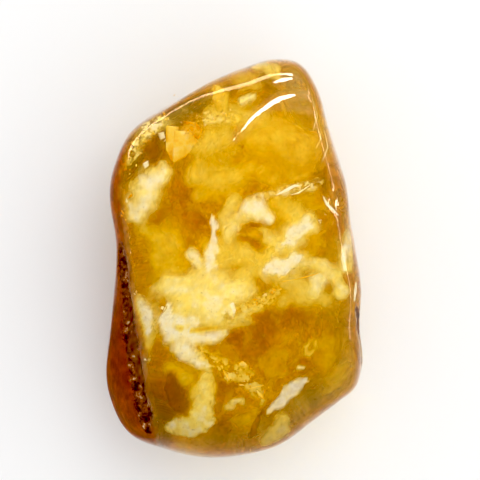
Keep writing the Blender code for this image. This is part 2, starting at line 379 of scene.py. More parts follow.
class Paint:
    # The nodes of a material or a world, under construction
    def __init__(self, holder):
        self.holder = holder
        self.holder.use_nodes = True
        self.tree = self.holder.node_tree
        self.tree.nodes.clear()
        self.place = self.put("ShaderNodeTexCoord", {}, {}, "Object")

    def put(self, kind, settings, sockets, output=0):
        # A new node: its settings first, then the values or links of its sockets
        node = self.tree.nodes.new(kind)
        for key, value in settings.items():
            if key == "stops":
                ramp = node.color_ramp
                while len(ramp.elements) < len(value):
                    ramp.elements.new(0.5)
                for element, (position, colour) in zip(ramp.elements, value):
                    element.position, element.color = position, colour
            else:
                setattr(node, key, value)
        for key, value in sockets.items():
            if isinstance(value, Wire):
                self.tree.links.new(value.socket, node.inputs[key])
            else:
                node.inputs[key].default_value = value
        return Wire(self, node.outputs[output]) if node.outputs else node

    def noise(self, size, detail=2.0, roughness=0.5):
        # Noise of lumps about size millimetres wide, 0 to 1
        sockets = {"Vector": self.place, "Scale": 1 / (size * mm), "Detail": detail, "Roughness": roughness}
        return self.put("ShaderNodeTexNoise", {}, sockets, "Fac")

    def value(self, name):
        # One of the mesh's named values
        return self.put("ShaderNodeAttribute", {"attribute_name": name}, {}, "Fac")

    def step(self, value, low, high, toLow=0.0, toHigh=1.0):
        # From toLow where the value is low to toHigh where it is high, smoothly
        settings = {"interpolation_type": "SMOOTHSTEP"}
        sockets = {"Value": value, "From Min": low, "From Max": high, "To Min": toLow, "To Max": toHigh}
        return self.put("ShaderNodeMapRange", settings, sockets, "Result")

    def ramp(self, stops, value):
        return self.put("ShaderNodeValToRGB", {"stops": stops}, {"Fac": value}, "Color")

    def bump(self, height, strength, depth):
        sockets = {"Height": height, "Strength": strength, "Distance": depth * mm}
        return self.put("ShaderNodeBump", {}, sockets, "Normal")

    def surface(self, **settings):
        sockets = {key.replace("_", " "): value for key, value in settings.items()}
        return self.put("ShaderNodeBsdfPrincipled", {}, sockets, "BSDF")

    def mixed(self, share, a, b):
        return self.put("ShaderNodeMixShader", {}, {"Fac": share, 1: a, 2: b}, "Shader")

    def sealed(self, cover, lit, glow, glowShare):
        # What is sealed in the amber: lit from its front and its back where it covers, and a gap elsewhere
        through = self.put("ShaderNodeBsdfTranslucent", {}, {"Color": glow})
        gap = self.put("ShaderNodeBsdfTransparent", {}, {})
        return self.output(self.mixed(cover, gap, self.mixed(glowShare, lit, through)))

    def output(self, surface, volume=None):
        sockets = {"Surface": surface}
        if volume:
            sockets["Volume"] = volume
        self.put("ShaderNodeOutputMaterial", {}, sockets)
        return self.holder


# The polished skin, with the crust of its seam and its rind
skin = {
    "rows": 230,
    "columns": 420,
    "topAbove": 11.0,                      # higher places of the skin count as the stone's top
    "absorbColour": (0.935, 0.80, 0.0, 1.0),
    "absorbDensity": 100.0,
    "refraction": 1.54,
    "polish": 0.03,
    "dullPatches": 0.05,
    "mirrorTint": (0.34, 0.20, 0.09, 1),
    "coat": 0.13,                          # strength of the clear gloss, which is 1 on the steps
    # the red amber of the left wall: its edge along the shoulder as (y, x), and from which y to which y its
    # upper end comes in
    "stainEdge": [(18, -15.4), (15, -16.4), (12, -17.0), (8, -17.1), (2, -16.2), (-1.5, -15.6), (-6, -15.3),
                  (-10.5, -14.4), (-16, -13.4), (-20.5, -12.6), (-25, -12.2), (-28, -11.2)],
    "stainEnd": (19, 15),
    "stainColour": (0.80, 0.30, 0.06, 1),
    "stainTint": (0.60, 0.16, 0.03, 1),
    "stainRefraction": 1.25,
    "crustColours": [(0.37, (0.014, 0.004, 0.002, 1)), (0.47, (0.10, 0.026, 0.007, 1)),
                     (0.58, (0.32, 0.09, 0.02, 1)), (0.67, (0.78, 0.58, 0.34, 1))],
    "crustTint": (1.0, 0.5, 0.25, 1),
    "rindColours": [(0.34, (0.03, 0.011, 0.004, 1)), (0.48, (0.15, 0.06, 0.02, 1)),
                    (0.62, (0.36, 0.20, 0.09, 1)), (0.74, (0.62, 0.46, 0.28, 1))],
}

print("polished skin")
skinGrid, seamShare, bareShare, glossShare = stoneSurface(skin["rows"], skin["columns"])
skinPoints = skinGrid.reshape(-1, 3)


def stainShare(points):
    # 1 on the left wall, outside the stain's ragged edge, where old red amber lies under the skin
    y, x = np.array(skin["stainEdge"]).T
    inside = points[:, 0] - np.interp(-points[:, 1], -y, x) + 0.5 * clumps(points, 2.0, 41)
    return smoothStep(0.5, -0.5, inside) * smoothStep(*skin["stainEnd"], points[:, 1])


def amberMaterial():
    # Clear amber, with stain, crust and bark mixed in by the skin's named values, over absorbing depth
    paint = Paint(bpy.data.materials.new("honey_amber"))
    fine = paint.noise(1.6, detail=2)
    wide = paint.noise(9.0, detail=1)
    grain = paint.noise(0.5, detail=4, roughness=0.65)
    polish = skin["polish"] + skin["dullPatches"] * paint.step(wide, 0.55, 0.75)
    waviness = paint.bump(fine, 0.12, 0.10)
    gloss = skin["coat"] + (1 - skin["coat"]) * paint.value("gloss")
    clear = paint.surface(Base_Color=(1.0, 1.0, 1.0, 1), Roughness=polish, IOR=skin["refraction"],
                          Transmission_Weight=1.0, Normal=waviness, Specular_Tint=skin["mirrorTint"],
                          Coat_Weight=gloss, Coat_Roughness=0.03)
    stained = paint.surface(Base_Color=skin["stainColour"], Roughness=polish, IOR=skin["stainRefraction"],
                            Transmission_Weight=1.0, Normal=waviness, Specular_Tint=skin["stainTint"])
    clear = paint.mixed(paint.value("stain"), clear, stained)
    crustColour = paint.ramp(skin["crustColours"], paint.noise(1.1, detail=5, roughness=0.7))
    crust = paint.surface(Base_Color=crustColour, Roughness=0.5, Specular_IOR_Level=0.2,
                          Specular_Tint=skin["crustTint"], Normal=paint.bump(grain, 0.8, 0.25))
    rindColour = paint.ramp(skin["rindColours"], paint.noise(1.8, detail=6, roughness=0.7))
    bark = paint.surface(Base_Color=rindColour, Roughness=0.65, Normal=paint.bump(grain, 0.7, 0.25))
    crustShare = paint.step(paint.value("crust") + 0.7 * (grain - 0.5), 0.06, 0.28)
    bareShare = paint.step(paint.value("rind") + 0.9 * (grain - 0.5), 0.40, 0.65)
    skinShader = paint.mixed(bareShare, paint.mixed(crustShare, clear, crust), bark)
    volume = paint.put("ShaderNodeVolumeAbsorption", {}, {"Color": skin["absorbColour"],
                                                          "Density": skin["absorbDensity"]})
    return paint.output(skinShader, volume)


amber = closedMesh("amber_skin", [skinGrid], {
    "crust": [seamShare], "rind": [bareShare], "stain": [stainShare(skinPoints)],
    "gloss": [glossShare]})
amber.data.materials.append(amberMaterial())
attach(amber, "root")
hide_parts("amber_stone")


# Milky clouds, drawn on closed sheets nested in the stone's form, each of which shows where it cuts them.
# Tone runs from 0, white, over 0.35, pale yellow, and 0.6, gold, to 1, dark brown.
clouds = {
    "sheets": [0.8, 2.2, 4.0, 6.2, 8.8],   # how deep each lies under the skin
    "rows": 192,
    "columns": 346,
    "heart": (0, 0, 11.8),                 # each shrinks towards it by its depth over the half box
    "halfBox": (19.3, 29.9, 11.8),
    "colours": [
        (0.0, (0.98, 1.0, 0.93, 1)), (0.1, (0.98, 0.96, 0.76, 1)), (0.3, (0.95, 0.80, 0.24, 1)),
        (0.5, (0.87, 0.63, 0.08, 1)), (0.65, (0.74, 0.42, 0.03, 1)), (0.8, (0.48, 0.195, 0.012, 1)),
        (1.0, (0.17, 0.028, 0.003, 1))],
    "glow": (1.0, 0.97, 0.72, 1),
    "glowShare": 0.4,
    # noise: its flattening in depth, sizes of lumps, and (size, amount, seed) of what curls the clouds
    "flatter": (1, 1, 1.6),
    "raggedSize": 2.2,
    "mottleSize": 1.3,
    "wildSize": 4.6,
    "curls": [(5.0, 0.9, 201), (1.6, 0.30, 206)],
    "wildCurl": (7.0, 3.0, 221),
    # tone of the deep amber, how far noise moves it, and how much browner it is at the rim
    "groundTone": 0.56,
    "wildTone": 0.22,
    "mottleTone": 0.05,
    "rimTone": 0.45,
    "wallTone": 0.92,                      # tone of the stained left wall
    # how a cloud ends (none to full, in half widths), how ragged, how strong beside others, and how grainy
    "softLook": {"edge": (1.7, 0.5), "ragged": 0.30, "weight": 1.5, "grain": 0.0},
    # placed clouds: places (x, y, half width) of a stroke, depth below the top, half thickness, milk and
    # tone, and what is its own in its look
    "placed": [
        # the two cream clouds of the left and the middle
        ([(-10.6, 13.4, 0.9), (-12.0, 11.6, 1.6), (-13.2, 9.2, 1.9), (-14.2, 6.8, 1.2)], 2.0, 2.2, 0.9,
         0.13, {"ragged": 0.5}),
        ([(-12.9, 11.8, 0.9), (-12.4, 10.9, 0.8)], 1.4, 1.0, 1.0, 0.0),
        ([(-0.6, 8.6, 1.0), (-1.4, 6.5, 1.1), (-1.4, 4.2, 1.0), (-0.8, 2.8, 0.6)], 3.4, 2.0, 0.9, 0.24),
        ([(1.4, 7.4, 0.9), (3.2, 7.4, 1.4), (4.9, 6.4, 0.9)], 1.5, 1.8, 1.0, 0.03),
        ([(2.4, 6.8, 1.2), (0.4, 5.6, 1.0), (-0.6, 3.4, 0.9), (-0.8, 2.2, 0.6)], 2.8, 2.0, 0.9, 0.18),
        ([(-2.6, 0.6, 1.6), (0.8, 0.4, 1.6), (2.8, -0.4, 1.2)], 2.8, 2.0, 0.8, 0.34),
        ([(-13.0, 4.4, 1.4), (-10.8, 2.2, 2.4), (-9.2, -0.8, 2.0)], 4.0, 2.2, 0.75, 0.42),
        ([(6.4, -2.6, 1.0), (9.4, -3.4, 1.6), (10.4, -6.0, 1.6)], 3.2, 2.0, 0.75, 0.28),
        ([(-2.4, -9.0, 1.2), (0.9, -8.6, 1.4)], 2.8, 1.8, 0.8, 0.26),
        ([(-2.2, 21.0, 1.2), (1.0, 20.6, 1.4), (4.4, 20.2, 1.6)], 4.2, 2.0, 0.6, 0.36),
        # pale cloud between them
        ([(-5.5, 12.6, 1.6), (-3.0, 11.8, 2.0), (0.8, 12.2, 1.5)], 3.8, 2.0, 0.75, 0.36),
        ([(-4.6, 9.6, 1.4), (-1.5, 10.6, 1.4)], 4.4, 2.2, 0.7, 0.44),
        # right of the middle
        ([(6.4, 7.9, 1.2), (8.6, 7.0, 1.4), (9.4, 5.6, 1.2)], 3.4, 2.0, 0.85, 0.40),
        ([(4.4, 3.6, 0.9), (6.2, 2.6, 1.3), (7.8, 1.6, 0.9)], 3.2, 1.8, 0.85, 0.24),
        ([(10.6, 4.8, 1.2), (12.0, 2.4, 1.4), (11.0, 0.6, 1.0)], 4.2, 2.0, 0.6, 0.55),
        # the large pale cloud
        ([(-9.4, -4.2, 1.6), (-6.4, -5.2, 3.2), (-2.6, -5.4, 3.3), (0.6, -4.6, 1.5)], 2.6, 2.6, 1.0, 0.16),
        ([(-4.4, -6.4, 1.4), (-2.4, -7.2, 1.5)], 1.6, 1.6, 1.0, 0.06),
        ([(-9.6, -8.0, 1.2), (-5.5, -8.2, 1.6), (-2.4, -8.6, 1.0)], 2.8, 2.2, 0.95, 0.20),
        ([(1.2, -2.8, 1.4), (3.4, -0.8, 1.0), (5.4, 1.4, 0.8)], 3.0, 2.0, 0.9, 0.32),
        ([(-6.8, 0.8, 0.7), (-5.4, -0.6, 1.0), (-4.8, -2.0, 0.8)], 2.2, 1.6, 0.9, 0.10),
        # arc at the right and the soft puff under it
        ([(9.8, -1.0, 0.7), (12.5, -1.2, 0.8), (14.6, -2.4, 1.0), (15.5, -4.0, 0.9), (15.2, -5.6, 0.6)],
         2.2, 1.8, 0.75, 0.20),
        ([(12.7, -3.2, 1.0), (11.8, -5.2, 1.0)], 2.4, 1.6, 0.95, 0.06),
        ([(9.4, -4.8, 1.4), (7.6, -6.2, 1.2)], 3.8, 2.0, 0.6, 0.34),
        # lower left: the white patch, the oval's veil and the pale stem
        ([(-9.8, -9.8, 0.8), (-8.6, -11.6, 1.3), (-7.0, -13.0, 1.3), (-5.4, -14.4, 1.0),
          (-4.0, -15.6, 0.5)], 1.3, 1.0, 1.0, 0.04),
        ([(-8.0, -10.8, 1.3), (-5.2, -11.6, 1.3), (-3.0, -11.6, 0.8), (-1.5, -10.6, 0.4)], 1.3, 1.0, 1.0,
         0.07),
        ([(-11.3, -8.6, 0.5), (-11.4, -11.2, 0.8), (-13.2, -12.6, 1.1)], 2.4, 1.6, 0.75, 0.30),
        ([(-4.2, -16.8, 0.9), (-4.2, -19.0, 1.3), (-5.3, -21.0, 1.4), (-6.2, -23.2, 1.4)], 2.6, 1.8, 0.85,
         0.30),
        ([(-9.0, -16.6, 1.4), (-6.6, -17.2, 1.2)], 3.6, 1.8, 0.6, 0.46),
        ([(-9.2, -17.6, 0.7), (-8.4, -19.6, 1.3), (-7.6, -21.8, 0.8)], 2.0, 1.8, 1.0, 0.95,
         {"weight": 4.0}),
        ([(1.0, 3.4, 0.5), (2.4, 3.3, 0.6), (3.8, 3.4, 0.5)], 1.6, 1.8, 0.9, 0.68, {"weight": 3.0}),
        ([(0.5, -23.6, 1.0), (2.6, -22.6, 1.0)], 2.6, 1.6, 0.6, 0.50),
        ([(12.9, -6.4, 1.3)], 3.2, 1.8, 0.7, 0.34),
        ([(-0.7, -21.7, 0.6)], 2.0, 1.2, 0.8, 0.16),
        ([(0.7, -21.2, 0.5)], 2.0, 1.2, 0.8, 0.16),
        # lower right
        ([(7.0, -22.8, 0.7), (6.2, -24.6, 0.9), (4.4, -26.2, 1.0)], 2.4, 1.6, 0.7, 0.26),
        ([(13.2, -13.0, 2.6), (14.0, -17.0, 2.0)], 4.6, 2.2, 0.6, 0.56),
        # top lobe
        ([(3.8, 28.2, 0.7), (4.8, 27.6, 0.7), (6.4, 26.6, 0.5)], 2.0, 1.6, 0.7, 0.36),
        ([(1.2, 26.0, 1.4), (3.4, 25.4, 1.2)], 3.4, 1.8, 0.5, 0.50),
        ([(-2.6, 25.0, 0.6), (-2.0, 23.6, 1.2), (-1.4, 22.2, 0.9)], 2.4, 1.6, 0.8, 0.42),
        ([(1.2, 23.0, 0.5), (3.2, 23.4, 0.6)], 1.4, 1.0, 0.8, 0.08),
        ([(-4.8, 16.6, 1.8), (-1.8, 17.6, 1.8)], 2.8, 1.8, 0.7, 0.38),
        # the bright glow in the upper right: painted light, pale gold milky clouds that stand for light
        # inside the stone
        ([(3.4, 17.6, 2.2), (6.6, 16.8, 2.9), (9.6, 15.8, 2.2)], 4.6, 4.0, 1.0, 0.50,
         {"ragged": 0.04, "edge": (1.9, 0.2)}),
        ([(2.0, 12.8, 1.2), (6.0, 12.4, 1.4), (10.0, 12.8, 1.2)], 3.8, 2.4, 0.85, 0.53, {"ragged": 0.2}),
        # crumbly places: the upper left, the band right of it, the golden crack and the lower middle
        ([(-10.6, 20.0, 1.0), (-12.4, 18.9, 1.4), (-14.6, 16.6, 0.8), (-15.4, 14.2, 0.6)], 1.2, 1.3, 1.0,
         0.26, {"grain": 1.0}),
        ([(-13.0, 16.6, 0.8), (-12.2, 16.0, 1.5), (-11.4, 17.2, 0.7)], 1.8, 1.6, 0.9, 0.92,
         {"weight": 3.0}),
        ([(-4.8, 20.2, 0.6), (-2.6, 20.8, 0.9), (0.4, 20.6, 0.7)], 1.3, 1.2, 0.9, 0.34, {"grain": 1.0}),
        ([(-8.0, 19.0, 0.8), (-6.2, 19.2, 1.2), (-4.8, 18.2, 0.8)], 1.4, 1.2, 0.9, 0.60, {"grain": 0.8}),
        ([(-0.6, -8.4, 0.8), (3.2, -6.5, 1.0), (6.4, -4.6, 0.8)], 1.3, 1.2, 0.9, 0.40, {"grain": 1.0}),
        ([(-4.4, -13.4, 0.7), (-1.6, -16.2, 1.1), (1.6, -17.6, 1.2), (3.8, -20.2, 0.8)], 1.4, 1.2, 0.9,
         0.52, {"grain": 1.0}),
        ([(11.1, -11.9, 0.5), (10.2, -12.6, 0.4), (10.5, -13.6, 0.4), (11.6, -13.9, 0.4),
          (12.2, -13.0, 0.4), (11.8, -12.1, 0.4)], 1.2, 0.9, 0.9, 0.44, {"ragged": 0.3}),
        # painted glints: a grainy pale band that stands for the sparkle of small cracks right of the middle
        ([(4.0, 9.0, 0.6), (8.0, 10.4, 1.0), (12.0, 11.0, 0.6)], 1.2, 0.9, 0.8, 0.22, {"grain": 1.0}),
    ],
    # white flakes and brown cracks with a crisper edge: stroke, depth and tone
    "crisp": [
        ([(-3.2, 6.3, 0.25), (-2.9, 5.0, 0.7), (-3.1, 3.5, 0.45), (-2.8, 2.0, 0.5), (-3.2, 0.8, 0.9),
          (-3.4, -0.6, 1.0), (-3.9, -2.0, 0.3)], 0.9, 0.015),
        ([(7.0, 2.4, 0.4), (8.1, 3.2, 0.9), (9.1, 4.2, 1.1), (10.1, 4.9, 0.9), (11.3, 4.5, 0.3)], 0.9, 0.0),
        ([(3.9, -1.9, 0.3), (4.8, -1.6, 0.8), (6.2, -1.2, 1.2), (8.3, -0.7, 1.2), (9.9, -0.2, 0.4)], 0.9,
         0.0),
        ([(10.4, -18.1, 0.3), (9.2, -18.6, 0.85), (7.6, -19.9, 1.0), (6.4, -21.2, 0.85), (5.3, -22.5, 0.4)],
         0.9, 0.02),
        ([(-13.4, -6.5, 0.4), (-13.0, -7.4, 1.0), (-12.6, -8.6, 1.35), (-12.6, -9.9, 1.1),
          (-13.1, -11.4, 0.4)], 1.2, 0.0),
        ([(17.0, 3.8, 0.3), (16.7, 2.6, 0.6), (16.3, 0.8, 0.8), (15.8, -1.1, 0.3)], 0.9, 0.0),
        ([(-15.0, -14.2, 0.3), (-14.6, -14.9, 0.6), (-14.7, -15.6, 0.3)], 0.9, 0.1),
        ([(-13.9, -14.5, 0.3), (-13.3, -14.6, 0.5), (-12.7, -15.0, 0.3)], 0.9, 0.1),
        ([(-3.2, -24.4, 0.7), (-4.8, -24.0, 1.4), (-6.6, -24.6, 2.1), (-8.4, -25.4, 1.6),
          (-10.2, -25.6, 0.8)], 1.2, 0.17),
        ([(-5.4, -22.2, 1.2), (-7.4, -24.0, 1.3), (-9.2, -25.2, 1.0)], 1.2, 0.19),
        ([(-4.2, -16.8, 0.7), (-4.6, -19.0, 1.1), (-4.6, -21.2, 1.2), (-5.4, -23.4, 1.9),
          (-7.0, -25.6, 1.7)], 1.3, 0.22),
        ([(-10.3, -6.4, 0.4), (-10.0, -8.8, 0.9), (-8.2, -9.2, 0.9), (-5.4, -9.0, 0.5)], 0.9, 0.02),
        ([(0.9, 22.7, 0.2), (1.8, 23.1, 0.4), (2.8, 23.4, 0.4), (3.7, 23.7, 0.2)], 1.2, 0.20),
        ([(-0.6, -21.6, 0.5), (0.6, -21.3, 0.5)], 1.6, 0.14),
        ([(9.5, -15.4, 0.3), (9.9, -16.3, 0.3)], 0.9, 0.16),
        ([(1.2, -15.6, 0.5), (-1.4, -16.6, 0.4), (-0.8, -18.0, 0.3)], 1.4, 0.40),
        ([(-8.4, -10.1, 0.15), (-5.6, -10.3, 0.28), (-2.8, -9.9, 0.15)], 0.9, 0.72),
        ([(4.3, -21.8, 0.3), (3.2, -24.0, 0.6), (2.2, -25.8, 0.4)], 1.6, 0.88),
    ],
    "crispThick": 0.9,
    "crispLook": {"edge": (1.35, 0.75), "ragged": 0.36, "weight": 6.0, "grain": 0.08},
    # the soft pale halo round and under each crisp one that is white
    "halo": {"whiteUnder": 0.01, "wider": 0.7, "deeper": 1.2, "thick": 1.3, "milk": 0.8, "darker": 0.16},
    # colours of the amber in depth, behind the clouds: place in plan, radii and tone
    "grounds": [
        # on the next line, the second and third places lighten the amber under the painted glow of the upper
        # right
        ((-1.0, 15.5), (7.0, 4.5), 0.42), ((6.6, 16.0), (5.2, 3.6), 0.49), ((7.0, 13.2), (4.4, 1.4), 0.52),
        ((-7.2, 16.8), (3.4, 3.6), 0.72), ((-2.0, 23.8), (1.3, 2.2), 0.42),
        ((-10.5, 3.4), (3.4, 2.4), 0.50), ((-7.4, 8.6), (2.2, 3.6), 0.74), ((-4.6, 4.6), (1.6, 3.0), 0.72),
        ((13.4, 11.6), (2.4, 3.0), 0.88), ((5.6, -3.2), (2.2, 1.2), 0.54), ((8.0, -9.8), (6.5, 1.8), 0.74),
        ((4.0, -12.4), (3.6, 2.4), 0.74), ((13.0, -15.0), (5.2, 4.6), 0.66),
        ((-8.4, -19.6), (1.8, 2.6), 0.84), ((-10.0, -17.0), (3.2, 2.0), 0.58),
        ((4.4, 27.4), (4.0, 1.6), 0.40), ((9.4, 25.6), (3.0, 3.4), 0.42), ((-13.6, 15.8), (3.0, 3.4), 0.95),
        ((-6.2, 21.6), (2.6, 1.3), 0.84), ((-17.0, 12.5), (2.4, 9.0), 1.00),
        ((-12.0, 21.4), (3.4, 1.6), 0.86), ((-11.8, -20.5), (2.8, 6.0), 0.98),
        ((-9.0, -27.0), (4.0, 2.0), 0.90), ((-2.0, -26.0), (2.6, 2.2), 0.84),
        ((0.3, -17.8), (3.4, 5.0), 0.72), ((10.8, -22.4), (5.4, 3.6), 0.96),
        ((6.6, -26.8), (5.0, 2.4), 1.0), ((2.4, 3.6), (2.4, 1.6), 0.74), ((0.2, -12.4), (3.0, 2.4), 0.72),
    ],
}


def asCloud(stroke, depth, thick, milk, tone, look=None):
    # One row of the tables above, with a name for each of its values
    return {"stroke": stroke, "depth": depth, "thick": thick, "milk": milk, "tone": tone,
            **clouds["softLook"], **(look or {})}


placed = [asCloud(*row) for row in clouds["placed"]]
crisp = [asCloud(stroke, depth, clouds["crispThick"], 1.0, tone, clouds["crispLook"])
         for stroke, depth, tone in clouds["crisp"]]
halo = clouds["halo"]
halos = [asCloud([(x, y, wide + halo["wider"]) for x, y, wide in stroke], depth + halo["deeper"],
                 halo["thick"], halo["milk"], tone + halo["darker"])
         for stroke, depth, tone in clouds["crisp"] if tone < halo["whiteUnder"]]
topPlaces = skinPoints[skinPoints[:, 2] > skin["topAbove"]]


def topHeight(x, y):
    # Height of the stone's top over a place in plan: the mean of the nearest points of its skin
    away = (topPlaces[:, 0] - x) ** 2 + (topPlaces[:, 1] - y) ** 2
    return topPlaces[np.argpartition(away, 6)[:6], 2].mean()


def planShare(points, stroke):
    # Distance in plan to a stroke over the half width there
    if len(stroke) == 1:
        stroke = stroke + [(stroke[0][0] + 0.01, stroke[0][1], stroke[0][2])]
    return alongLine(points[:, :2], [((x, y), wide, 0.0) for x, y, wide in stroke])[0]


def milkAndTone(points, depth):
    # How milky the amber is at each point, and its tone: deep amber first, then wild clouds, then the placed
    # ones, each an ellipse across its stroke and in depth, with a ragged and curling edge.
    curled = points
    for curl in clouds["curls"]:
        curled = swirled(curled, *curl)
    ragged = clumps(points * clouds["flatter"], clouds["raggedSize"], 211, octaves=5, gain=0.66)
    mottle = clumps(points, clouds["mottleSize"], 216, octaves=4, gain=0.6)
    wild = swirled(points, *clouds["wildCurl"]) * clouds["flatter"]
    wild = clumps(wild, clouds["wildSize"], 231, octaves=5, gain=0.62)
    under = smoothStep(15, 9, points[:, 2])
    angle = np.degrees(np.arctan2(points[:, 1], points[:, 0]))
    outer = smoothStep(0.70, 0.94, np.hypot(points[:, 0], points[:, 1]) / ring(stone["rim"], angle))
    wall = stainShare(points - (1.0, 0, 0))
    deep = smoothStep(8.5, 5.5, points[:, 2]) * smoothStep(1.5, 2.6, depth)
    tone = clouds["groundTone"] + clouds["wildTone"] * wild + clouds["mottleTone"] * mottle
    for place, radii, value in clouds["grounds"]:
        away = np.hypot((curled[:, 0] - place[0]) / radii[0], (curled[:, 1] - place[1]) / radii[1])
        near = smoothStep(1.6, 0.3, away)
        tone = tone + (value + 0.16 * wild + 0.04 * mottle - tone) * near
    tone += clouds["rimTone"] * outer
    milk = deep * (0.55 + 0.45 * smoothStep(-0.5, 0.1, wild + 0.3 * ragged))
    veil = smoothStep(1.4, 5.0, depth) * smoothStep(-0.25, 0.75, wild + 0.25 * ragged)
    veil *= (0.50 + 0.40 * under) * (1 + 0.25 * mottle)
    paler = smoothStep(0.1, 0.7, wild + 0.15 * mottle)
    tone = np.where(veil > milk, tone - 0.22 * paler, tone)
    milk = np.maximum(milk, veil)
    weight = 0.04 + 0.5 * milk**2
    total, painted, grain = weight.copy(), weight * tone, np.zeros(len(points))
    for cloud in placed + halos + crisp:
        x, y, _ = cloud["stroke"][len(cloud["stroke"]) // 2]
        level = topHeight(x, y) - cloud["depth"]
        across = planShare(curled, cloud["stroke"])
        away = np.sqrt(across**2 + ((points[:, 2] - level) / cloud["thick"]) ** 2)
        away += cloud["ragged"] * ragged
        share = smoothStep(*cloud["edge"], away)
        shade = cloud["tone"] + 0.16 * smoothStep(0.2, 1.2, away) + 0.12 * mottle
        weight = share**1.2 * cloud["weight"]
        total += weight
        painted += weight * shade
        milk = np.maximum(milk, cloud["milk"] * share * (0.95 + 0.18 * mottle))
        grain = np.maximum(grain, cloud["grain"] * share)
    tone = painted / total
    tone = tone + (clouds["wallTone"] + 0.2 * mottle - tone) * wall
    milk = milk + (0.75 + 0.3 * ragged - milk) * wall
    return np.clip(milk, 0, 1), np.clip(tone, 0, 1), grain


def cloudMaterial():
    # Milk and tone from the sheets, roughened by a fine noise, which breaks up the grainy places most
    paint = Paint(bpy.data.materials.new("milky_amber"))
    fine = paint.noise(0.9, detail=3, roughness=0.65)
    grain = paint.value("grain")
    tone = paint.value("tone") + (0.5 - fine) * (0.38 + 1.0 * grain)
    milk = paint.value("milk") * (0.86 + 0.45 * fine)
    milk = milk * (1 - grain) + grain * paint.value("milk") * paint.step(fine, 0.47, 0.53, 0.06, 1.0)
    colour = paint.ramp(clouds["colours"], tone)
    lit = paint.surface(Base_Color=colour, Roughness=0.6, Specular_IOR_Level=0.0)
    return paint.sealed(milk, lit, clouds["glow"], clouds["glowShare"])


print("milky clouds")
cloudPaint = cloudMaterial()
cloudForm = wornForm(ballGrid(clouds["rows"], clouds["columns"]).reshape(-1, 3))
cloudForm -= cloudForm.mean(0) * (1, 1, 0)
heart, halfBox = np.array(clouds["heart"]), np.array(clouds["halfBox"])
for number, depth in enumerate(clouds["sheets"], 1):
    inside = heart + (cloudForm - heart) * (1 - depth / halfBox)
    milk, tone, grain = milkAndTone(inside, depth)
    sheet = closedMesh(f"milky_layer_{number}", [inside.reshape(clouds["rows"], clouds["columns"], 3)],
                       {"milk": [milk], "tone": [tone], "grain": [grain]})
    sheet.data.materials.append(cloudPaint)
    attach(sheet, "root")


